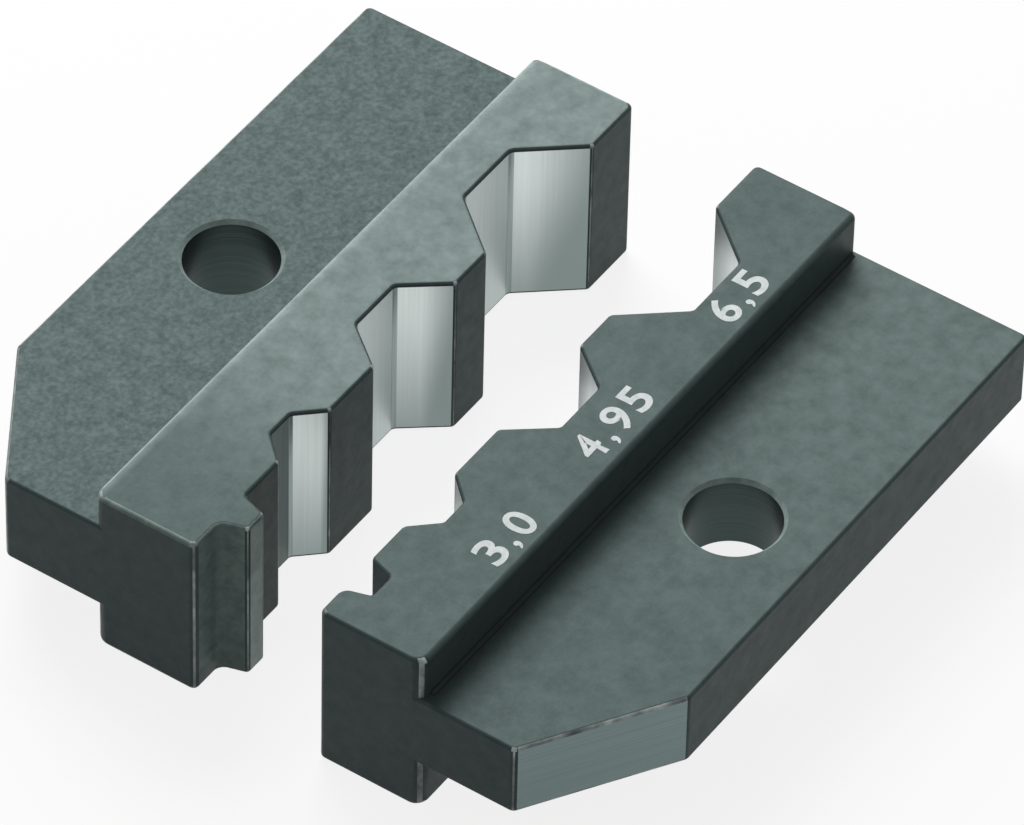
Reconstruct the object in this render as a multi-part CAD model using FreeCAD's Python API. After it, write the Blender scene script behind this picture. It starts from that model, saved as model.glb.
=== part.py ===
# Pair of interchangeable crimping dies for hand pliers, with three hexagonal nests.
# Each die half is one piece of hardened steel: a tall crimping head that carries the
# nests, and a thinner mounting plate behind it with one screw hole. A guide tooth on
# one half enters a guide notch on the other when the pair closes.
#
# Frame: X runs along the row of nests, Y is the closing direction, Z is up. The origin
# is the middle of the open pair, on the plane that both heads rest on. The half with
# the tooth lies at +Y, the half with the notch at -Y.

import FreeCAD
import Part

import math
import os
from collections import namedtuple

# Head, all sizes in millimetres
head_height = 10.3
head_depth = 6.1
land_corner_radius = 0.35
near_back_radius = 0.7
far_back_radius = 0.35
edge_break = 0.2

# Mounting plate behind the head
plate_reach = 10.3
plate_corner_radius = 0.35
corner_cut_length = 7.75
corner_cut_depth = 4.95
corner_cut_radius = 0.4
root_radius = 0.25
tooth_plate_thickness = 5.5
tooth_plate_base = 2.7
notch_plate_thickness = 4.5
notch_plate_base = 3.15

# Screw hole in the plate
screw_hole_diameter = 5.0
screw_hole_from_end = 19.0
screw_hole_from_back = 5.0
screw_hole_rim = 0.2

# Crimp nests, each half a hexagon with flared walls, and the lands beside them
guide_land_width = 7.075
small_nest_across_flats = 3.0
small_nest_opening = 4.35
small_nest_floor_width = 1.65
small_nest_floor_radius = 0.3
small_to_middle_land = 3.725
middle_nest_across_flats = 4.95
middle_nest_opening = 7.1
middle_nest_floor_width = 3.3
middle_nest_floor_radius = 0.35
middle_to_large_land = 2.65
large_nest_across_flats = 6.5
large_nest_opening = 9.4
large_nest_floor_width = 4.1
large_nest_floor_radius = 0.4
end_land_width = 3.7
nest_lip_radius = 0.3

# Guide tooth, and the clearances of the notch that takes it
guide_centre = 3.15
guide_taper = 17.0
tooth_height = 1.45
tooth_tip_width = 1.35
tooth_tip_radius = 0.25
tooth_near_root_radius = 0.55
tooth_far_root_radius = 0.25
guide_side_clearance = 0.1
guide_tip_clearance = 0.1
notch_near_lip_radius = 0.6
notch_far_lip_radius = 0.35

# Place of the two halves
open_gap = 7.4
closed_land_gap = 0.1

# Lands and openings in a row give the places of the nests and the length of the die
small_nest_centre = guide_land_width + small_nest_opening / 2
small_nest_end = guide_land_width + small_nest_opening
middle_nest_centre = small_nest_end + small_to_middle_land + middle_nest_opening / 2
middle_nest_end = middle_nest_centre + middle_nest_opening / 2
large_nest_centre = middle_nest_end + middle_to_large_land + large_nest_opening / 2
large_nest_end = large_nest_centre + large_nest_opening / 2
die_length = large_nest_end + end_land_width

Nest = namedtuple("Nest", "across_flats centre opening floor_width floor_radius")
nests = (
    Nest(small_nest_across_flats, small_nest_centre, small_nest_opening,
         small_nest_floor_width, small_nest_floor_radius),
    Nest(middle_nest_across_flats, middle_nest_centre, middle_nest_opening,
         middle_nest_floor_width, middle_nest_floor_radius),
    Nest(large_nest_across_flats, large_nest_centre, large_nest_opening,
         large_nest_floor_width, large_nest_floor_radius),
)


def nest_depth(nest):
    """Depth that gives the stated size across flats when the pair is closed."""
    return (nest.across_flats - closed_land_gap) / 2


def fillet_corner(before, corner, after, radius):
    """Tangent points and middle of the arc that rounds one corner of an outline."""
    to_before = (before - corner).normalize()
    to_after = (after - corner).normalize()
    half_angle = to_before.getAngle(to_after) / 2
    setback = radius / math.tan(half_angle)
    bisector = (to_before + to_after).normalize()
    to_middle = radius / math.sin(half_angle) - radius
    start = corner + to_before * setback
    middle = corner + bisector * to_middle
    end = corner + to_after * setback
    return start, middle, end


def outline(corners, z):
    """Closed wire through (x, y, radius) corners, each rounded by its own radius."""
    points = [FreeCAD.Vector(x, y, z) for x, y, radius in corners]
    arcs = []
    for index, corner in enumerate(points):
        before = points[index - 1]
        after = points[(index + 1) % len(points)]
        arcs.append(fillet_corner(before, corner, after, corners[index][2]))
    edges = []
    for index, (start, middle, end) in enumerate(arcs):
        next_start = arcs[(index + 1) % len(arcs)][0]
        edges.append(Part.Arc(start, middle, end).toShape())
        edges.append(Part.LineSegment(end, next_start).toShape())
    return Part.Wire(edges)


def prism(corners, z_low, z_high):
    """Upright prism with every edge of its two end faces broken."""
    solid = Part.Face(outline(corners, z_low)).extrude(FreeCAD.Vector(0, 0, z_high - z_low))
    rims = [edge for edge in solid.Edges if edge.BoundBox.ZLength < edge_break / 2]
    return solid.makeChamfer(edge_break, rims)


def guide_half_width(height):
    """Half the tooth's width at a height above the land it stands on."""
    return tooth_tip_width / 2 + (tooth_height - height) * math.tan(math.radians(guide_taper))


def tooth_corners():
    """Corners of the guide tooth, as distances along the die and behind the land."""
    root = guide_half_width(0)
    tip = guide_half_width(tooth_height)
    return [
        (guide_centre - root, 0, tooth_near_root_radius),
        (guide_centre - tip, -tooth_height, tooth_tip_radius),
        (guide_centre + tip, -tooth_height, tooth_tip_radius),
        (guide_centre + root, 0, tooth_far_root_radius),
    ]


def notch_corners():
    """Corners of the guide notch: the closed tooth, grown by its clearances."""
    depth = tooth_height - closed_land_gap + guide_tip_clearance
    mouth = guide_half_width(closed_land_gap) + guide_side_clearance
    floor = guide_half_width(closed_land_gap + depth) + guide_side_clearance
    return [
        (guide_centre - mouth, 0, notch_near_lip_radius),
        (guide_centre - floor, depth, tooth_tip_radius),
        (guide_centre + floor, depth, tooth_tip_radius),
        (guide_centre + mouth, 0, notch_far_lip_radius),
    ]


def nest_corners(nest):
    """Corners of one nest, from its near lip to its far lip."""
    depth = nest_depth(nest)
    return [
        (nest.centre - nest.opening / 2, 0, nest_lip_radius),
        (nest.centre - nest.floor_width / 2, depth, nest.floor_radius),
        (nest.centre + nest.floor_width / 2, depth, nest.floor_radius),
        (nest.centre + nest.opening / 2, 0, nest_lip_radius),
    ]


def head_corners(guide):
    """Outline of a head: the profiled face with its guide and nests, then the back."""
    corners = [(0, 0, land_corner_radius)]
    corners.extend(guide)
    for nest in nests:
        corners.extend(nest_corners(nest))
    corners.append((die_length, 0, land_corner_radius))
    corners.append((die_length, head_depth, far_back_radius))
    corners.append((0, head_depth, near_back_radius))
    return corners


def plate_corners():
    """Outline of a plate, which starts inside the head and has one corner cut off."""
    inner = head_depth - max(near_back_radius, far_back_radius) - plate_corner_radius
    back = head_depth + plate_reach
    return [
        (0, inner, plate_corner_radius),
        (0, back - corner_cut_depth, corner_cut_radius),
        (corner_cut_length, back, corner_cut_radius),
        (die_length, back, plate_corner_radius),
        (die_length, inner, plate_corner_radius),
    ]


def screw_hole(thickness, base):
    """Cutter for the screw hole, widened by a rim bevel at both faces of the plate."""
    x = screw_hole_from_end
    y = head_depth + plate_reach - screw_hole_from_back
    radius = screw_hole_diameter / 2
    wide = radius + screw_hole_rim
    up = FreeCAD.Vector(0, 0, 1)
    floor = FreeCAD.Vector(x, y, base)
    top = FreeCAD.Vector(x, y, base + thickness - screw_hole_rim)
    drill = Part.makeCylinder(radius, thickness, floor, up)
    low_bevel = Part.makeCone(wide, radius, screw_hole_rim, floor, up)
    high_bevel = Part.makeCone(radius, wide, screw_hole_rim, top, up)
    return drill.fuse([low_bevel, high_bevel])


def root_strip(plate_face, outward):
    """Concave radius along the straight of the head's back wall, on one plate face."""
    run = die_length - near_back_radius - far_back_radius
    corner = FreeCAD.Vector(near_back_radius, head_depth, plate_face)
    inset = root_radius / 2
    along = FreeCAD.Vector(0, root_radius, 0)
    away = FreeCAD.Vector(0, 0, outward * root_radius)
    sunk = FreeCAD.Vector(0, -inset, -outward * inset)
    swing = FreeCAD.Vector(0, root_radius, outward * root_radius) * (1 - math.sqrt(0.5))
    profile = Part.Wire([
        Part.Arc(corner + along, corner + swing, corner + away).toShape(),
        Part.LineSegment(corner + away, corner + away + FreeCAD.Vector(0, -inset, 0)).toShape(),
        Part.LineSegment(corner + away + FreeCAD.Vector(0, -inset, 0), corner + sunk).toShape(),
        Part.LineSegment(corner + sunk, corner + along + FreeCAD.Vector(0, 0, sunk.z)).toShape(),
        Part.LineSegment(corner + along + FreeCAD.Vector(0, 0, sunk.z), corner + along).toShape(),
    ])
    return Part.Face(profile).extrude(FreeCAD.Vector(run, 0, 0))


def die_half(guide, thickness, base):
    """One die half, with its land on the XZ plane and its plate towards +Y."""
    head = prism(head_corners(guide), 0, head_height)
    plate = prism(plate_corners(), base, base + thickness)
    strips = [root_strip(base, -1), root_strip(base + thickness, 1)]
    body = head.fuse([plate] + strips).removeSplitter()
    return body.cut(screw_hole(thickness, base)).removeSplitter()


def place(shape, side):
    """Centre a half along X and set its land half the open gap from the middle."""
    placed = shape
    if side < 0:
        placed = shape.mirror(FreeCAD.Vector(0, 0, 0), FreeCAD.Vector(0, 1, 0))
    placed.translate(FreeCAD.Vector(-die_length / 2, side * open_gap / 2, 0))
    return placed


def main():
    os.makedirs("parts", exist_ok=True)
    tooth_half = die_half(tooth_corners(), tooth_plate_thickness, tooth_plate_base)
    notch_half = die_half(notch_corners(), notch_plate_thickness, notch_plate_base)
    pieces = {
        "die_half_with_tooth": place(tooth_half, 1),
        "die_half_with_notch": place(notch_half, -1),
    }
    for name, shape in pieces.items():
        solid = shape.Solids[0]
        solid.exportStep("parts/" + name + ".step")
        print(name, "solids", len(shape.Solids), "valid", solid.isValid(),
              "volume", round(solid.Volume, 2), "box", solid.BoundBox)


main()
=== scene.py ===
# Pair of crimping die halves for hand pliers, open, on a pale studio floor
import math

import bmesh
import bpy
from mathutils import Matrix, Vector


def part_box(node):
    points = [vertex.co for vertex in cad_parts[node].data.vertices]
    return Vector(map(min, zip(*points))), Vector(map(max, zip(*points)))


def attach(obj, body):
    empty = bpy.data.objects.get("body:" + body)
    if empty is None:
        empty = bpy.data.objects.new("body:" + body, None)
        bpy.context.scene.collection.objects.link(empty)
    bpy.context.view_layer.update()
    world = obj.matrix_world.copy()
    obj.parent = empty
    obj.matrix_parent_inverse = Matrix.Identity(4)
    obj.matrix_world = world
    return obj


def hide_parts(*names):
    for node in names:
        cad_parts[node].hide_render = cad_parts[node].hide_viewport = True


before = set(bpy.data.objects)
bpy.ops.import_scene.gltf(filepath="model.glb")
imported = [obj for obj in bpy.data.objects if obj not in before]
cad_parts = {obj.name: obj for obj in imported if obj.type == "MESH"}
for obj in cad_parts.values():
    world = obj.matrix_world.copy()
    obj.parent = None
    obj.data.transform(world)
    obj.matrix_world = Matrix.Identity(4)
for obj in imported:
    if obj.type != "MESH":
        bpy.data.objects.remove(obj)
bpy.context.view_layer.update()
print("frame loaded:", sorted(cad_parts))

mm = 0.001
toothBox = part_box("die_half_with_tooth")
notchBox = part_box("die_half_with_notch")
dieLength = (notchBox[1].x - notchBox[0].x) / mm
headHeight = notchBox[1].z / mm
landPlace = -notchBox[1].y / mm  # distance of each land from the middle of the open pair
reach = (notchBox[1].y - notchBox[0].y) / mm  # land to the back of the plate
toothHeight = landPlace - toothBox[0].y / mm

# Sizes of a die half, in mm: x from the guide end, y behind the land
head = {
    "depth": 6.1,
    "landCornerRadius": 0.35,
    "nearBackRadius": 0.7,
    "farBackRadius": 0.35,
    "edgeBreak": 0.2,
    "backEdgeBreak": 0.34,  # the long back edges are rubbed rounder
    "lipRadius": 0.3,
    # across flats, centre, opening, floor width, floor radius
    "nests": ((3.0, 9.25, 4.35, 1.65, 0.3), (4.95, 18.7, 7.1, 3.3, 0.35), (6.5, 29.6, 9.4, 4.1, 0.4)),
    "closedGap": 0.1,
}
plate = {
    "cutLength": 7.75,
    "cutDepth": 4.95,
    "cutRadius": 0.4,
    "cornerRadius": 0.35,
    "rootRadius": 0.25,
    "screwHoleRadius": 2.5,
    "screwHoleFromBack": 5.0,
    "screwHoleRim": 0.2,
}
guide = {
    "centre": 3.15,
    "taper": 17.0,
    "tipWidth": 1.35,
    "tipRadius": 0.25,
    "nearRootRadius": 0.55,
    "farRootRadius": 0.25,
    "sideClearance": 0.1,
    "tipClearance": 0.1,
    "nearLipRadius": 0.6,
    "farLipRadius": 0.35,
}
toothHalf = {"name": "toothHalf", "side": 1, "node": "die_half_with_tooth", "body": "tooth_half",
             "slot": "blackened_steel_tooth_half", "plateBase": 2.7, "plateThickness": 5.5,
             "headTop": "rubbed", "plateTop": "grained", "backRim": "rubbedEdge", "endRim": "thinned",
             "plateRim": "worn"}
notchHalf = {"name": "notchHalf", "side": -1, "node": "die_half_with_notch", "body": "notch_half",
             "slot": "blackened_steel_notch_half", "plateBase": 3.15, "plateThickness": 4.5,
             "headTop": "blackened", "plateTop": "wiped", "backRim": "blackened", "endRim": "blackened",
             "plateRim": "blackened"}
detail = {
    "arcSegments": 8,
    "edgeSegments": 4,
    "holeSegments": 96,
    "sharpAngle": 32.0,
    "joined": 0.0005,  # mm, points this close are one
}

# Finishes in the order of the material slots, and which one a wall and its broken edge get
finishes = ["blackened", "ground", "stained", "filleted", "worn", "rubbedEdge", "cut", "rubbed", "thinned",
            "grained", "wiped", "paintedRootShade", "drilled"]
walls = {
    "end": ("blackened", "endRim"),
    "side": ("blackened", "blackened"),
    "land": ("blackened", "blackened"),
    "guide": ("thinned", "thinned"),
    "tip": ("rubbedEdge", "thinned"),
    "nest": ("ground", "blackened"),
    "smallNest": ("stained", "blackened"),
    "back": ("blackened", "backRim"),
    "plateBack": ("blackened", "plateRim"),
    "cut": ("cut", "worn"),
}
# how far a corner's arc is rubbed bare, as a share from its middle out: upright, and on the rim; the bare
# middle is part wear and part a painted highlight line
wornAndHighlightShare = {"worn": (0.3, 0.7), "wornWide": (0.8, 0.9), "wornLine": (0.15, 0.4)}


def worldPoint(x, y, z, side):
    return Vector(((x - dieLength / 2) * mm, side * (landPlace + y) * mm, z * mm))


def localPlace(point, side):
    return Vector((point.x / mm + dieLength / 2, side * point.y / mm - landPlace, point.z / mm))


# Outline corners, near end first: x, y, radius, finish of the arc, kind of the wall after it

def guideHalfWidth(height):
    return guide["tipWidth"] / 2 + (toothHeight - height) * math.tan(math.radians(guide["taper"]))


def toothCorners():
    root, tip, middle = guideHalfWidth(0), guideHalfWidth(toothHeight), guide["centre"]
    return [
        (middle - root, 0, guide["nearRootRadius"], "thinned", "guide"),
        (middle - tip, -toothHeight, guide["tipRadius"], "worn", "tip"),
        (middle + tip, -toothHeight, guide["tipRadius"], "wornWide", "land"),
        (middle + root, 0, guide["farRootRadius"], "blackened", "land"),
    ]


def notchCorners():
    depth = toothHeight - head["closedGap"] + guide["tipClearance"]
    mouth = guideHalfWidth(head["closedGap"]) + guide["sideClearance"]
    floor = guideHalfWidth(head["closedGap"] + depth) + guide["sideClearance"]
    middle = guide["centre"]
    return [
        (middle - mouth, 0, guide["nearLipRadius"], "blackened", "land"),
        (middle - floor, depth, guide["tipRadius"], "blackened", "land"),
        (middle + floor, depth, guide["tipRadius"], "blackened", "land"),
        (middle + mouth, 0, guide["farLipRadius"], "blackened", "land"),
    ]


def nestCorners(acrossFlats, centre, opening, floorWidth, floorRadius):
    depth = (acrossFlats - head["closedGap"]) / 2
    shaded = "smallNest" if acrossFlats == head["nests"][0][0] else "nest"
    return [
        (centre - opening / 2, 0, head["lipRadius"], "worn", shaded),
        (centre - floorWidth / 2, depth, floorRadius, "filleted" if shaded == "nest" else "stained", shaded),
        (centre + floorWidth / 2, depth, floorRadius, "filleted", "nest"),
        (centre + opening / 2, 0, head["lipRadius"], "worn", "land"),
    ]


def headCorners(side):
    corners = [(0, 0, head["landCornerRadius"], "worn", "guide" if side > 0 else "land")]
    corners += toothCorners() if side > 0 else notchCorners()
    for nest in head["nests"]:
        corners += nestCorners(*nest)
    corners += [
        (dieLength, 0, head["landCornerRadius"], "blackened", "end"),
        (dieLength, head["depth"], head["farBackRadius"], "blackened", "back"),
        (0, head["depth"], head["nearBackRadius"], "wornLine", "end"),
    ]
    return corners


def plateCorners():
    inner = head["depth"] - head["nearBackRadius"] - plate["cornerRadius"]
    return [
        (0, inner, plate["cornerRadius"], "blackened", "side"),
        (0, reach - plate["cutDepth"], plate["cutRadius"], "worn", "cut"),
        (plate["cutLength"], reach, plate["cutRadius"], "blackened", "plateBack"),
        (dieLength, reach, plate["cornerRadius"], "blackened", "side"),
        (dieLength, inner, plate["cornerRadius"], "blackened", "side"),
    ]


def arcSetback(corners, index):
    here, before, after = [Vector(corners[i % len(corners)][:2]) for i in (index, index - 1, index + 1)]
    toBefore, toAfter = (before - here).normalized(), (after - here).normalized()
    return here, toBefore, toAfter, corners[index][2] / math.tan(toBefore.angle(toAfter) / 2)


def arcFinishAt(offset, toBefore, toAfter, setback, arcFinish, onRim):
    # worn arcs are bare in the middle only, part wear and part a painted highlight line; of the others, the
    # thinned ones keep their finish on the rim
    if arcFinish not in wornAndHighlightShare:
        return "blackened" if onRim and arcFinish != "thinned" else arcFinish
    fromApex = abs(offset.dot(toBefore) - offset.dot(toAfter)) / (setback * (1 - toBefore.dot(toAfter)))
    if fromApex < wornAndHighlightShare[arcFinish][onRim]:
        return "worn"
    return "endRim" if onRim else "blackened"


def finishAt(place, corners, onRim):
    # the arc that the place lies on, or else the wall nearest to it
    point, nearest, found = Vector(place[:2]), math.inf, "blackened"
    for index, (x, y, radius, arcFinish, wall) in enumerate(corners):
        here, toBefore, toAfter, setback = arcSetback(corners, index)
        offset = point - here
        if max(offset.dot(toBefore), offset.dot(toAfter)) < setback and offset.length < 2 * setback:
            return arcFinishAt(offset, toBefore, toAfter, setback, arcFinish, onRim)
        run = (Vector(corners[(index + 1) % len(corners)][:2]) - here).length
        along = min(max(offset.dot(toAfter), 0), run)
        distance = (offset - toAfter * along).length
        if distance < nearest:
            nearest, found = distance, walls[wall][1 if onRim else 0]
    return found


# Modelling steps

def roundedPrism(bm, corners, low, high, side):
    verts = [bm.verts.new(worldPoint(corner[0], corner[1], low, side)) for corner in corners]
    bm.faces.new(verts)
    for index, vert in enumerate(verts):
        setback = arcSetback(corners, index)[3] * mm
        bmesh.ops.bevel(bm, geom=[vert], offset=setback, offset_type="OFFSET", segments=detail["arcSegments"],
                        profile=0.5, affect="VERTICES", material=-1, clamp_overlap=False)
    raised = bmesh.ops.extrude_face_region(bm, geom=bm.faces[:])
    top = [item for item in raised["geom"] if isinstance(item, bmesh.types.BMVert)]
    bmesh.ops.translate(bm, verts=top, vec=(0, 0, (high - low) * mm))
    bmesh.ops.recalc_face_normals(bm, faces=bm.faces[:])


def isUpright(face):
    return abs(face.normal.z) < 0.02


def isFlat(face):
    return abs(face.normal.z) > 0.98


def paintFaces(bm, corners, half, topFinish):
    for face in bm.faces:
        finish = topFinish if face.normal.z > 0 else "blackened"
        if not isFlat(face):
            place = localPlace(face.calc_center_median(), half["side"])
            finish = finishAt(place, corners, not isUpright(face))
        face.material_index = finishes.index(half.get(finish, finish))


def weighRims(bm, half):
    # the share of the widest edge break that each rim gets, rising round the head's back corners
    layer = bm.edges.layers.float.new("bevel_weight_edge")
    narrow = head["edgeBreak"] / head["backEdgeBreak"]
    for edge in bm.edges:
        if not any(isFlat(face) for face in edge.link_faces):
            continue
        middle = localPlace((edge.verts[0].co + edge.verts[1].co) / 2, half["side"])
        nearBack = max(1 - abs(middle.y - head["depth"]) / head["nearBackRadius"], 0)
        edge[layer] = narrow + (1 - narrow) * nearBack


def newPiece(name, bm, materials):
    mesh = bpy.data.meshes.new(name)
    bm.to_mesh(mesh)
    bm.free()
    for material in materials:
        mesh.materials.append(material)
    piece = bpy.data.objects.new(name, mesh)
    bpy.context.scene.collection.objects.link(piece)
    return piece


def applyModifiers(piece):
    depsgraph = bpy.context.evaluated_depsgraph_get()
    mesh = bpy.data.meshes.new_from_object(piece.evaluated_get(depsgraph), depsgraph=depsgraph)
    piece.modifiers.clear()
    piece.data = mesh


def combine(piece, other, operation):
    boolean = piece.modifiers.new(operation.lower(), "BOOLEAN")
    boolean.operation = operation
    boolean.solver = "EXACT"
    boolean.object = other
    applyModifiers(piece)
    bpy.data.objects.remove(other)


def makePrism(name, corners, low, high, half, topFinish, materials):
    bm = bmesh.new()
    roundedPrism(bm, corners, low, high, half["side"])
    weighRims(bm, half)
    piece = newPiece(name, bm, materials)
    rims = piece.modifiers.new("rims", "BEVEL")
    rims.limit_method = "WEIGHT"
    rims.width = head["backEdgeBreak"] * mm
    rims.segments = detail["edgeSegments"]
    rims.use_clamp_overlap = False
    applyModifiers(piece)
    bm = bmesh.new()
    bm.from_mesh(piece.data)
    paintFaces(bm, corners, half, topFinish)
    bm.to_mesh(piece.data)
    bm.free()
    return piece


def makeScrewHoleCutter(half, materials):
    # a drill with a rim bevel at both faces, spun round the hole's axis
    radius, rim = plate["screwHoleRadius"], plate["screwHoleRim"]
    low, high = half["plateBase"], half["plateBase"] + half["plateThickness"]
    clear = 1.0  # how far the cutter stands out of the plate
    profile = [(0, low - clear), (radius + rim + clear, low - clear), (radius, low + rim),
               (radius, high - rim), (radius + rim + clear, high + clear), (0, high + clear)]
    axis = worldPoint(dieLength / 2, reach - plate["screwHoleFromBack"], 0, half["side"])
    bm = bmesh.new()
    verts = [bm.verts.new(axis + Vector((x * mm, 0, z * mm))) for x, z in profile]
    edges = [bm.edges.new(pair) for pair in zip(verts, verts[1:])]
    bmesh.ops.spin(bm, geom=verts + edges, cent=axis, axis=(0, 0, 1), angle=math.tau,
                   steps=detail["holeSegments"], use_merge=True)
    bmesh.ops.remove_doubles(bm, verts=bm.verts[:], dist=0.001 * mm)
    bmesh.ops.recalc_face_normals(bm, faces=bm.faces[:])
    for face in bm.faces:
        sloped = 0.1 < abs(face.normal.z) < 0.9
        face.material_index = finishes.index("thinned" if sloped else "drilled")
    return newPiece(half["name"] + "Drill", bm, materials)


def makeRootStrip(half, level, outward, materials):
    # concave radius where the head's back wall meets a plate face, coloured near black: painted shade at the
    # root
    radius, sunk = plate["rootRadius"], plate["rootRadius"] / 2
    y, z, up = head["depth"], level, outward
    section = [(y - sunk, z - up * sunk), (y + radius, z - up * sunk), (y + radius, z), (y, z + up * radius),
               (y - sunk, z + up * radius)]
    bm = bmesh.new()
    near = head["nearBackRadius"]
    verts = [bm.verts.new(worldPoint(near, a, b, half["side"])) for a, b in section]
    bm.faces.new(verts)
    chord = [edge for edge in bm.edges if set(edge.verts) == {verts[2], verts[3]}]
    split = bmesh.ops.subdivide_edges(bm, edges=chord, cuts=detail["arcSegments"] - 1)
    centre = worldPoint(near, y + radius, z + up * radius, half["side"])
    for item in split["geom_inner"]:
        if isinstance(item, bmesh.types.BMVert):
            item.co = centre + (item.co - centre).normalized() * radius * mm
    run = dieLength - near - head["farBackRadius"]
    raised = bmesh.ops.extrude_face_region(bm, geom=bm.faces[:])
    moved = [item for item in raised["geom"] if isinstance(item, bmesh.types.BMVert)]
    bmesh.ops.translate(bm, verts=moved, vec=(run * mm, 0, 0))
    bmesh.ops.recalc_face_normals(bm, faces=bm.faces[:])
    # the whole strip takes the near black painted root shade
    for face in bm.faces:
        face.material_index = finishes.index("paintedRootShade")
    return newPiece(half["name"] + "Root", bm, materials)


def shadeByAngle(piece):
    bm = bmesh.new()
    bm.from_mesh(piece.data)
    bmesh.ops.remove_doubles(bm, verts=bm.verts[:], dist=detail["joined"] * mm)
    bmesh.ops.dissolve_degenerate(bm, edges=bm.edges[:], dist=detail["joined"] * mm)
    for face in bm.faces:
        face.smooth = True
    for edge in bm.edges:
        edge.smooth = edge.calc_face_angle(0) < math.radians(detail["sharpAngle"])
    bm.to_mesh(piece.data)
    bm.free()
    weighted = piece.modifiers.new("evenShading", "WEIGHTED_NORMAL")
    weighted.keep_sharp = True
    weighted.weight = 100


def makeDieHalf(half, materials):
    low, high = half["plateBase"], half["plateBase"] + half["plateThickness"]
    piece = makePrism(half["name"], headCorners(half["side"]), 0, headHeight, half, half["headTop"], materials)
    plateBody = makePrism("plate", plateCorners(), low, high, half, half["plateTop"], materials)
    combine(plateBody, makeScrewHoleCutter(half, materials), "DIFFERENCE")
    combine(piece, plateBody, "UNION")
    combine(piece, makeRootStrip(half, high, 1, materials), "UNION")
    combine(piece, makeRootStrip(half, low, -1, materials), "UNION")
    shadeByAngle(piece)
    piece.data.name = half["name"]
    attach(piece, half["body"])
    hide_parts(half["node"])
    print(piece.name, "modelled,", len(piece.data.polygons), "faces")
    return piece


# Size marks: the sizes across flats in plain white numbers behind their nests
sizeMarks = {
    "texts": ("3,0", "4,95", "6,5"),
    "digitHeight": 1.8,
    "digitWidth": 1.25,
    "digitPitch": 1.62,
    "commaPitch": 0.8,
    "commaHeight": 0.6,
    "behindLand": (4.52, 4.38, 4.5),  # middle of the digits behind each nest
    "boldness": 0.018,  # of the letter size, added all round
    "sharpest": 0.13,  # keeps the points of a letter from running out
    "joined": 0.0005,  # of the letter size, points this close are one
    "film": 0.012,  # mm of ink on the steel
}


def embolden(mesh, amount):
    # each outline point moves out square to both of its walls, so that the counters stay open
    bm = bmesh.new()
    bm.from_mesh(mesh)
    bmesh.ops.remove_doubles(bm, verts=bm.verts[:], dist=sizeMarks["joined"])
    bmesh.ops.recalc_face_normals(bm, faces=bm.faces[:])
    moves = []
    for vert in bm.verts:
        before, after = [face.normal for face in vert.link_faces if abs(face.normal.z) < 0.1][:2]
        moves.append((vert, (before + after) * amount / max(1 + before.dot(after), sizeMarks["sharpest"])))
    for vert, move in moves:
        vert.co += move
    bm.to_mesh(mesh)
    bm.free()


def glyphMesh(character):
    curve = bpy.data.curves.new("glyph", "FONT")
    curve.body = character
    curve.extrude = 0.5
    curve.resolution_u = 6
    writer = bpy.data.objects.new("glyph", curve)
    bpy.context.scene.collection.objects.link(writer)
    depsgraph = bpy.context.evaluated_depsgraph_get()
    mesh = bpy.data.meshes.new_from_object(writer.evaluated_get(depsgraph), depsgraph=depsgraph)
    bpy.data.objects.remove(writer)
    embolden(mesh, sizeMarks["boldness"])
    return mesh


def addGlyph(bm, character, x, y):
    # the built-in letter, fitted to the height and width of the printed one
    mesh = glyphMesh(character)
    low = [min(vert.co[axis] for vert in mesh.vertices) for axis in range(3)]
    high = [max(vert.co[axis] for vert in mesh.vertices) for axis in range(3)]
    isComma = character == ","
    height = sizeMarks["commaHeight"] if isComma else sizeMarks["digitHeight"]
    tall = height / (high[1] - low[1])
    wide = tall if isComma else sizeMarks["digitWidth"] / (high[0] - low[0])
    foot = y + sizeMarks["digitHeight"] / 2 + (height / 3 if isComma else 0)
    scale = Matrix.Diagonal((wide * mm, tall * mm, 2 * sizeMarks["film"] * mm, 1))
    centre = Matrix.Translation((-(low[0] + high[0]) / 2, -low[1], 0))
    place = Matrix.Translation(worldPoint(x, foot, headHeight, notchHalf["side"]))
    mesh.transform(place @ scale @ centre)
    bm.from_mesh(mesh)


def makeSizeMarks(material):
    bm = bmesh.new()
    for text, nest, y in zip(sizeMarks["texts"], head["nests"], sizeMarks["behindLand"]):
        kinds = ["commaPitch" if character == "," else "digitPitch" for character in text]
        pitches = [sizeMarks[kind] for kind in kinds]
        x = nest[1] - sum(pitches) / 2
        for character, pitch in zip(text, pitches):
            addGlyph(bm, character, x + pitch / 2, y)
            x += pitch
    bmesh.ops.remove_doubles(bm, verts=bm.verts[:], dist=0.001 * mm)
    bmesh.ops.recalc_face_normals(bm, faces=bm.faces[:])
    marks = newPiece("sizeMarks", bm, [material])
    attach(marks, notchHalf["body"])
    print("size marks written,", len(marks.data.polygons), "faces")


# Materials

def linearColour(code):
    channels = [int(code[start:start + 2], 16) / 255 for start in (1, 3, 5)]
    return [c / 12.92 if c <= 0.04045 else ((c + 0.055) / 1.055) ** 2.4 for c in channels] + [1.0]


def addNode(tree, kind, inputs, **settings):
    node = tree.nodes.new(kind)
    for name, value in settings.items():
        setattr(node, name, value)
    for name, value in inputs.items():
        if isinstance(value, bpy.types.NodeSocket):
            tree.links.new(value, node.inputs[name])
        else:
            node.inputs[name].default_value = value
    return node


def newMaterial(name):
    material = bpy.data.materials.new(name)
    material.use_nodes = True
    material.node_tree.nodes.clear()
    return material, material.node_tree


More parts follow.
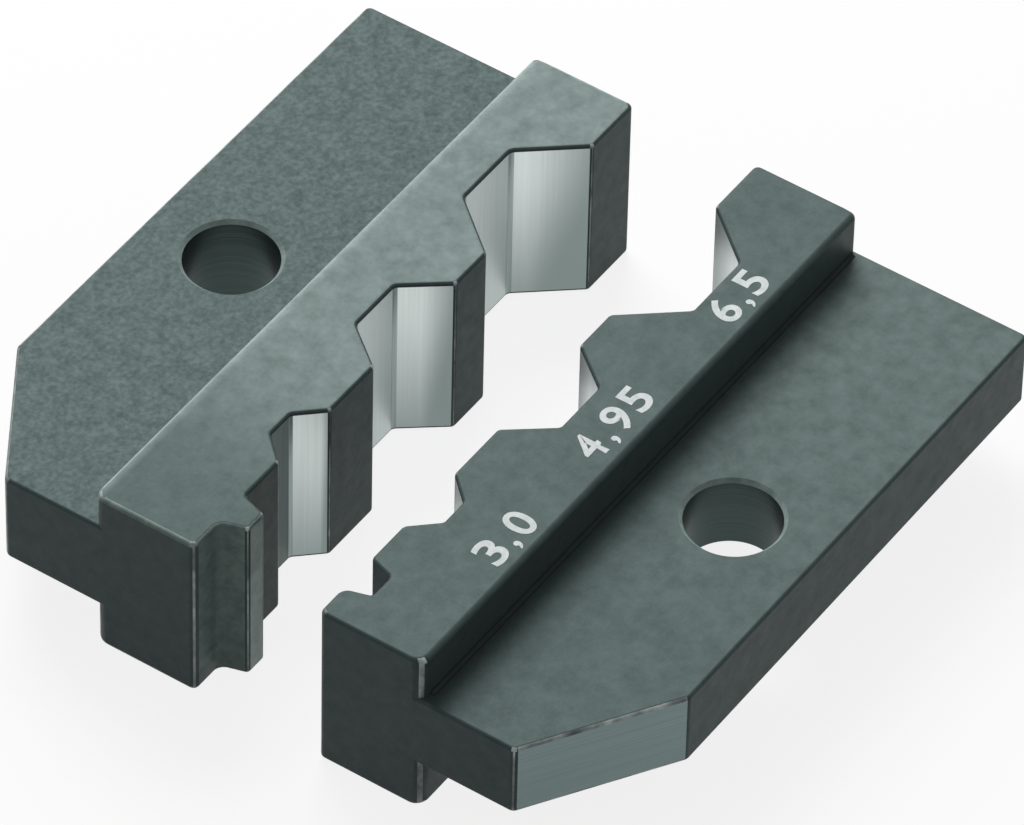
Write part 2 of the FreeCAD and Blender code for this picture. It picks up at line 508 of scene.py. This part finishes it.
blackOxide = {
    "dark": "#384341",
    "light": "#44514f",
    "roughness": 0.5,
    "roughSpread": 0.04,  # less where the colour is light
    "sheen": 0.26,  # specular level
    "sheenTint": "#dafffc",
    "grain": 0.15,  # mm, blasted grain
    "grainShare": 0.35,
    "mottle": 0.9,  # mm, uneven oxide
    "grainDepth": 0.006,  # mm
}
grainedOxide = {**blackOxide, "dark": "#2c3836", "light": "#4b5957", "grain": 0.28, "grainShare": 1.3,
                "roughSpread": 0.06}
thinnedOxide = {**blackOxide, "dark": "#73847f", "light": "#97a8a3", "grain": 0.3}
# painted shade: near black oxide for the root fillets, standing for the shadow where the head's back wall meets
# the plate
paintedRootShadeOxide = {**blackOxide, "dark": "#171c1b", "light": "#262d2b", "sheen": 0.15}
# where the oxide is rubbed: colour of the bare steel, its share, where along the die it rises (mm from
# the middle) and its share on the back rim of the head; the rise is part wear and part painted sheen,
# the back-rim band part wear and part painted highlight
rubbedAndSheenOxide = {**blackOxide, "grain": 0.25, "grainShare": 0.6, "roughSpread": 0.025,
               "bare": "#8d9b98", "bareShare": 0.72, "bareFrom": -17, "bareTo": -3, "bareAndHighlightRim": 0.6}
# the notch half's plate top: patchy bare steel rising towards the far end, part wear and part painted sheen
wipedAndSheenOxide = {**blackOxide, "bare": "#84928f", "bareShare": 0.22, "bareFrom": -12, "bareTo": 16, "bareAndHighlightRim": 0.0}
# where an edge is worn: colour of the bare steel, its least and most share
wornOxide = {**blackOxide, "bare": "#ccd6d4", "bareLeast": 0.05, "bareMost": 0.6}
# lighter oxide with bare patches on the tooth half's back rim and tooth tip: part wear, and on the back rim
# part a painted highlight
rubbedEdgeAndHighlightOxide = {**thinnedOxide, "bare": "#a3afad", "bareLeast": 0.15, "bareMost": 0.45}
bareSteel = {
    "dark": "#dfe8e6",
    "light": "#f3faf8",
    "shade": "#8b9896",  # painted shade towards the foot and the lips
    "roughness": 0.32,
    "streak": 0.16,  # mm between grinding lines
    "streakLength": 12.0,  # mm
    "streakDepth": 0.0006,  # mm
}
# painted shade on the nest walls, as shares of the shade colour
nestPaintedShade = {
    "top": -0.05,  # of a wall
    "foot": 0.95,
    "lip": 0.85,  # more at the lips
    "smallReach": (-8.25, 0.31),  # mm along the die, and how far in from the lip that painted shade reaches there
    "largeReach": (14.0, 2.48),
    "floor": 0.57,
    "floorFacing": 0.7,  # a wall that faces the other half more squarely than this turns to a floor
    "soft": (-0.25, 1.25),  # the shares at which the painted shade fades out and is full
}


def oxideNodes(tree, spec):
    # place, grain, mottle, colour and roughness of black oxide over a blasted surface
    place = addNode(tree, "ShaderNodeTexCoord", {}).outputs["Object"]
    grain = addNode(tree, "ShaderNodeTexNoise", {"Vector": place, "Scale": 1 / (spec["grain"] * mm),
                                                 "Detail": 2.0, "Roughness": 0.6}).outputs["Fac"]
    mottle = addNode(tree, "ShaderNodeTexNoise", {"Vector": place, "Scale": 1 / (spec["mottle"] * mm),
                                                  "Detail": 5.0, "Roughness": 0.6}).outputs["Fac"]
    both = addNode(tree, "ShaderNodeMath", {0: grain, 1: spec["grainShare"], 2: mottle},
                   operation="MULTIPLY_ADD").outputs[0]
    least, most = [level * (1 + spec["grainShare"]) for level in (0.34, 0.66)]  # what the noises reach
    share = addNode(tree, "ShaderNodeMapRange", {"Value": both, "From Min": least, "From Max": most}).outputs[0]
    colour = addNode(tree, "ShaderNodeMix", {
        "Factor": share, "A": linearColour(spec["dark"]), "B": linearColour(spec["light"])},
        data_type="RGBA").outputs["Result"]
    roughest, smoothest = spec["roughness"] + spec["roughSpread"], spec["roughness"] - spec["roughSpread"]
    rough = addNode(tree, "ShaderNodeMapRange", {"Value": share, "To Min": roughest,
                                                 "To Max": smoothest}).outputs[0]
    return place, grain, mottle, colour, rough


def addOxideShader(tree, spec, grain, colour, rough):
    bump = addNode(tree, "ShaderNodeBump", {"Height": grain, "Strength": 0.6,
                                            "Distance": spec["grainDepth"] * mm})
    shader = addNode(tree, "ShaderNodeBsdfPrincipled", {
        "Base Color": colour, "Roughness": rough, "Specular IOR Level": spec["sheen"],
        "Specular Tint": linearColour(spec["sheenTint"]), "Normal": bump.outputs[0]})
    addNode(tree, "ShaderNodeOutputMaterial", {"Surface": shader.outputs[0]})


def blackOxideMaterial(name, spec):
    # hardened steel, black oxide over a fine blasted grain: a dull, faintly green grey sheen
    material, tree = newMaterial(name)
    place, grain, mottle, colour, rough = oxideNodes(tree, spec)
    addOxideShader(tree, spec, grain, colour, rough)
    return material


def rubbedAndSheenMaterial(name, spec):
    # black oxide rubbed thin by handling: bare steel shines through in patches, more towards one end
    # and along the back edge of the head; the rise towards that end is part painted sheen, and the band
    # along the back edge part a painted highlight
    material, tree = newMaterial(name)
    place, grain, mottle, colour, rough = oxideNodes(tree, spec)
    axes = addNode(tree, "ShaderNodeSeparateXYZ", {0: place}).outputs
    rise = addNode(tree, "ShaderNodeMapRange", {"Value": axes["X"], "From Min": spec["bareFrom"] * mm,
                                                "From Max": spec["bareTo"] * mm},
                   interpolation_type="SMOOTHSTEP").outputs[0]
    patches = addNode(tree, "ShaderNodeMapRange", {"Value": mottle, "From Min": 0.3, "From Max": 0.7,
                                                   "To Min": 0.45, "To Max": 1.0}).outputs[0]
    spread = addNode(tree, "ShaderNodeMath", {0: rise, 1: patches}, operation="MULTIPLY").outputs[0]
    behind = addNode(tree, "ShaderNodeMath", {0: axes["Y"]}, operation="ABSOLUTE").outputs[0]
    edge = (landPlace + head["depth"]) * mm
    rim = addNode(tree, "ShaderNodeMapRange", {"Value": behind, "From Min": edge - 0.7 * mm,
                                               "From Max": edge - 0.2 * mm, "To Max": spec["bareAndHighlightRim"]},
                  interpolation_type="SMOOTHSTEP").outputs[0]
    rubbedAndHighlightRim = addNode(tree, "ShaderNodeMath", {0: rim, 1: patches}, operation="MULTIPLY").outputs[0]
    bare = addNode(tree, "ShaderNodeMath", {0: spread, 1: spec["bareShare"], 2: rubbedAndHighlightRim},
                   operation="MULTIPLY_ADD").outputs[0]
    mixed = addNode(tree, "ShaderNodeMix", {"Factor": bare, "A": colour, "B": linearColour(spec["bare"])},
                    data_type="RGBA").outputs["Result"]
    addOxideShader(tree, spec, grain, mixed, rough)
    return material


def wornEdgeMaterial(name, spec):
    # edges where the oxide has rubbed through: bright steel in short broken lengths
    material, tree = newMaterial(name)
    place, grain, mottle, colour, rough = oxideNodes(tree, spec)
    patches = addNode(tree, "ShaderNodeTexNoise", {"Vector": place, "Scale": 1 / (2.2 * mm), "Detail": 4.0,
                                                   "Roughness": 0.65}).outputs["Fac"]
    bare = addNode(tree, "ShaderNodeMapRange", {
        "Value": patches, "From Min": 0.35, "From Max": 0.65,
        "To Min": spec["bareLeast"], "To Max": spec["bareMost"]}).outputs[0]
    mixed = addNode(tree, "ShaderNodeMix", {"Factor": bare, "A": colour, "B": linearColour(spec["bare"])},
                    data_type="RGBA").outputs["Result"]
    shader = addNode(tree, "ShaderNodeBsdfPrincipled", {
        "Base Color": mixed, "Metallic": bare, "Roughness": rough})
    addNode(tree, "ShaderNodeOutputMaterial", {"Surface": shader.outputs[0]})
    return material


def groundSteelMaterial(name, spec, alongHeight):
    # bare steel, ground: bright, with fine lines along the height or along the face
    material, tree = newMaterial(name)
    coordinates = addNode(tree, "ShaderNodeTexCoord", {}).outputs
    place = coordinates["Object"]
    fine, coarse = 1 / (spec["streak"] * mm), 1 / (spec["streakLength"] * mm)
    scale = (fine, fine, coarse) if alongHeight else (coarse, coarse, fine)
    stretched = addNode(tree, "ShaderNodeMapping", {"Vector": place, "Scale": scale})
    streaks = addNode(tree, "ShaderNodeTexNoise", {"Vector": stretched.outputs[0], "Scale": 1.0,
                                                   "Detail": 3.0, "Roughness": 0.6}).outputs["Fac"]
    share = addNode(tree, "ShaderNodeMapRange", {"Value": streaks, "From Min": 0.2, "From Max": 0.8}).outputs[0]
    ground = addNode(tree, "ShaderNodeMix", {"Factor": share, "A": linearColour(spec["dark"]),
                                             "B": linearColour(spec["light"])}, data_type="RGBA")
    axes = addNode(tree, "ShaderNodeSeparateXYZ", {0: place}).outputs
    # painted shade, more towards the foot and the lips, further in where the nest is larger; even on the floors
    low = addNode(tree, "ShaderNodeMapRange", {
        "Value": axes["Z"], "From Min": headHeight * mm, "From Max": 0,
        "To Min": nestPaintedShade["top"], "To Max": nestPaintedShade["foot"]}).outputs[0]
    across = addNode(tree, "ShaderNodeMath", {0: axes["Y"]}, operation="ABSOLUTE").outputs[0]
    depth = addNode(tree, "ShaderNodeMath", {0: across, 1: landPlace * mm}, operation="SUBTRACT").outputs[0]
    (smallPlace, smallReach), (largePlace, largeReach) = nestPaintedShade["smallReach"], nestPaintedShade["largeReach"]
    lipReach = addNode(tree, "ShaderNodeMapRange", {
        "Value": axes["X"], "From Min": smallPlace * mm, "From Max": largePlace * mm,
        "To Min": smallReach * mm, "To Max": largeReach * mm}).outputs[0]
    lip = addNode(tree, "ShaderNodeMapRange", {"Value": depth, "From Min": lipReach, "From Max": 0,
                                               "To Max": nestPaintedShade["lip"]}).outputs[0]
    wall = addNode(tree, "ShaderNodeMath", {0: low, 1: lip}, operation="ADD").outputs[0]
    facing = addNode(tree, "ShaderNodeSeparateXYZ", {0: coordinates["Normal"]}).outputs["Y"]
    squarely = addNode(tree, "ShaderNodeMath", {0: facing}, operation="ABSOLUTE").outputs[0]
    both = addNode(tree, "ShaderNodeMapRange", {"Value": squarely, "From Min": nestPaintedShade["floorFacing"],
                                                "To Min": wall, "To Max": nestPaintedShade["floor"]}).outputs[0]
    # painted shade mixed into the ground steel colour
    paintedNestShade = addNode(tree, "ShaderNodeMapRange", {"Value": both, "From Min": nestPaintedShade["soft"][0],
                                                 "From Max": nestPaintedShade["soft"][1]},
                    interpolation_type="SMOOTHSTEP").outputs[0]
    colour = addNode(tree, "ShaderNodeMix", {"Factor": paintedNestShade, "A": ground.outputs["Result"],
                                             "B": linearColour(spec["shade"])}, data_type="RGBA")
    bump = addNode(tree, "ShaderNodeBump", {"Height": streaks, "Strength": 0.5,
                                            "Distance": spec["streakDepth"] * mm})
    shader = addNode(tree, "ShaderNodeBsdfPrincipled", {
        "Base Color": colour.outputs["Result"], "Metallic": 1.0, "Roughness": spec["roughness"],
        "Normal": bump.outputs[0]})
    addNode(tree, "ShaderNodeOutputMaterial", {"Surface": shader.outputs[0]})
    return material


def inkMaterial(name):
    # white marking ink: matt, a little uneven where it was wiped
    material, tree = newMaterial(name)
    place = addNode(tree, "ShaderNodeTexCoord", {}).outputs["Object"]
    cover = addNode(tree, "ShaderNodeTexNoise", {"Vector": place, "Scale": 1 / (0.3 * mm), "Detail": 3.0})
    colour = addNode(tree, "ShaderNodeMix", {"Factor": cover.outputs["Fac"], "A": linearColour("#b9c4c2"),
                                             "B": linearColour("#f2f7f6")}, data_type="RGBA")
    shader = addNode(tree, "ShaderNodeBsdfPrincipled", {"Base Color": colour.outputs["Result"],
                                                        "Roughness": 0.6, "Specular IOR Level": 0.3})
    addNode(tree, "ShaderNodeOutputMaterial", {"Surface": shader.outputs[0]})
    return material


# the small nest's floor and near wall: ground steel coloured darker than the other nests
darkSmallNestSteel = {**bareSteel, "dark": "#56625f", "light": "#7d8b88", "shade": "#4e5a58", "roughness": 0.45}
# painted shade: the fillets between a nest's floor and far wall are coloured darker than the ground walls
filletedSteel = {**bareSteel, "dark": "#a3b0ae", "light": "#bac6c4", "shade": "#75827f"}
cutSteel = {**bareSteel, "dark": "#667677", "light": "#829192", "shade": "#6b7a7a", "roughness": 0.36,
            "streak": 0.12}
drilledSteel = {**cutSteel, "dark": "#334140", "light": "#52605e", "shade": "#3d4a48"}
finishMaterials = {
    "blackened": blackOxideMaterial("blackOxideSteel", blackOxide),
    "ground": groundSteelMaterial("groundSteel", bareSteel, True),
    "stained": groundSteelMaterial("darkSmallNestSteel", darkSmallNestSteel, True),
    "filleted": groundSteelMaterial("filletedSteel", filletedSteel, True),
    "worn": wornEdgeMaterial("wornEdgeSteel", wornOxide),
    "rubbedEdge": wornEdgeMaterial("rubbedEdgeAndHighlightSteel", rubbedEdgeAndHighlightOxide),
    "cut": groundSteelMaterial("cutSteel", cutSteel, False),
    "rubbed": rubbedAndSheenMaterial("rubbedAndSheenOxideSteel", rubbedAndSheenOxide),
    "thinned": blackOxideMaterial("thinnedOxideSteel", thinnedOxide),
    "grained": blackOxideMaterial("blastedOxideSteel", grainedOxide),
    "wiped": rubbedAndSheenMaterial("wipedAndSheenOxideSteel", wipedAndSheenOxide),
    "paintedRootShade": blackOxideMaterial("paintedRootShadeSteel", paintedRootShadeOxide),
    "drilled": groundSteelMaterial("drilledSteel", drilledSteel, False),
}
materials = [finishMaterials[finish] for finish in finishes]
print("materials made")

makeDieHalf(toothHalf, materials)
makeDieHalf(notchHalf, materials)
makeSizeMarks(inkMaterial("whiteInk"))


# Studio

studio = {
    "floorSize": 3.0,
    "floorDrop": 0.02,  # mm under the resting faces
    "floorColour": "#ffffff",
    "shadowShare": 0.15,
    "mirroredShare": 0.2,  # the same for the floor as the metal mirrors it
    "bounceColour": "#8c8f8f",
    "skyLevel": 0.16,
}
# place, aim, size in metres, power in watts
lamps = {
    "keySoftbox": ((0.20, 0.22, 0.30), (0, 0, 0.005), 0.30, 2.0),
}
cameraSetting = {
    "place": (-306.858, -205.523, 381.602),
    "turn": (44.514, -0.98, -55.443),
    "lens": 373.45,
    "sensor": 36.0,
}


def seenShare(tree, mirrored):
    # 1 for camera and transmission rays, the given share for glossy rays, 0 for the rest
    path = addNode(tree, "ShaderNodeLightPath", {})
    gloss = addNode(tree, "ShaderNodeMath", {0: path.outputs["Is Glossy Ray"], 1: mirrored,
                                             2: path.outputs["Is Camera Ray"]}, operation="MULTIPLY_ADD")
    return addNode(tree, "ShaderNodeMath", {0: gloss.outputs[0], 1: path.outputs["Is Transmission Ray"]},
                   operation="MAXIMUM").outputs[0]


def makeFloor():
    material, tree = newMaterial("paleFloor")
    seen = seenShare(tree, 1.0)
    mirrored = (1 - studio["mirroredShare"]) / (1 - studio["shadowShare"])
    colour = addNode(tree, "ShaderNodeMix", {"Factor": seen, "A": linearColour(studio["bounceColour"]),
                                             "B": linearColour(studio["floorColour"])}, data_type="RGBA")
    lit = addNode(tree, "ShaderNodeBsdfDiffuse", {"Color": colour.outputs["Result"]})
    plain = addNode(tree, "ShaderNodeEmission", {"Color": linearColour(studio["floorColour"]), "Strength": 1.0})
    share = addNode(tree, "ShaderNodeMath", {0: seenShare(tree, mirrored), 1: 1 - studio["shadowShare"]},
                    operation="MULTIPLY")
    mixed = addNode(tree, "ShaderNodeMixShader", {0: share.outputs[0], 1: lit.outputs[0], 2: plain.outputs[0]})
    addNode(tree, "ShaderNodeOutputMaterial", {"Surface": mixed.outputs[0]})
    bm = bmesh.new()
    bmesh.ops.create_grid(bm, x_segments=1, y_segments=1, size=studio["floorSize"] / 2,
                          matrix=Matrix.Translation((0, 0, -studio["floorDrop"] * mm)))
    newPiece("floor", bm, [material])


def makeWorld():
    world = bpy.data.worlds.new("paleSurround")
    world.use_nodes = True
    tree = world.node_tree
    tree.nodes.clear()
    strength = addNode(tree, "ShaderNodeMapRange", {"Value": seenShare(tree, 1.0), "To Min": studio["skyLevel"],
                                                    "To Max": 1.0})
    sky = addNode(tree, "ShaderNodeBackground", {"Color": linearColour(studio["floorColour"]),
                                                 "Strength": strength.outputs[0]})
    addNode(tree, "ShaderNodeOutputWorld", {"Surface": sky.outputs[0]})
    bpy.context.scene.world = world


def makeLamp(name, place, aim, size, power):
    light = bpy.data.lights.new(name, "AREA")
    light.size = size
    light.energy = power
    lamp = bpy.data.objects.new(name, light)
    bpy.context.scene.collection.objects.link(lamp)
    lamp.location = place
    lamp.rotation_euler = (Vector(aim) - Vector(place)).to_track_quat("-Z", "Y").to_euler()


def makeCamera():
    camera = bpy.data.objects.new("camera", bpy.data.cameras.new("camera"))
    bpy.context.scene.collection.objects.link(camera)
    camera.location = [value * mm for value in cameraSetting["place"]]
    camera.rotation_euler = [math.radians(value) for value in cameraSetting["turn"]]
    camera.data.lens = cameraSetting["lens"]
    camera.data.sensor_width = cameraSetting["sensor"]
    bpy.context.scene.camera = camera


makeFloor()
makeWorld()
for name, values in lamps.items():
    makeLamp(name, *values)
makeCamera()
bpy.context.scene.view_settings.view_transform = "Standard"
print("studio ready")
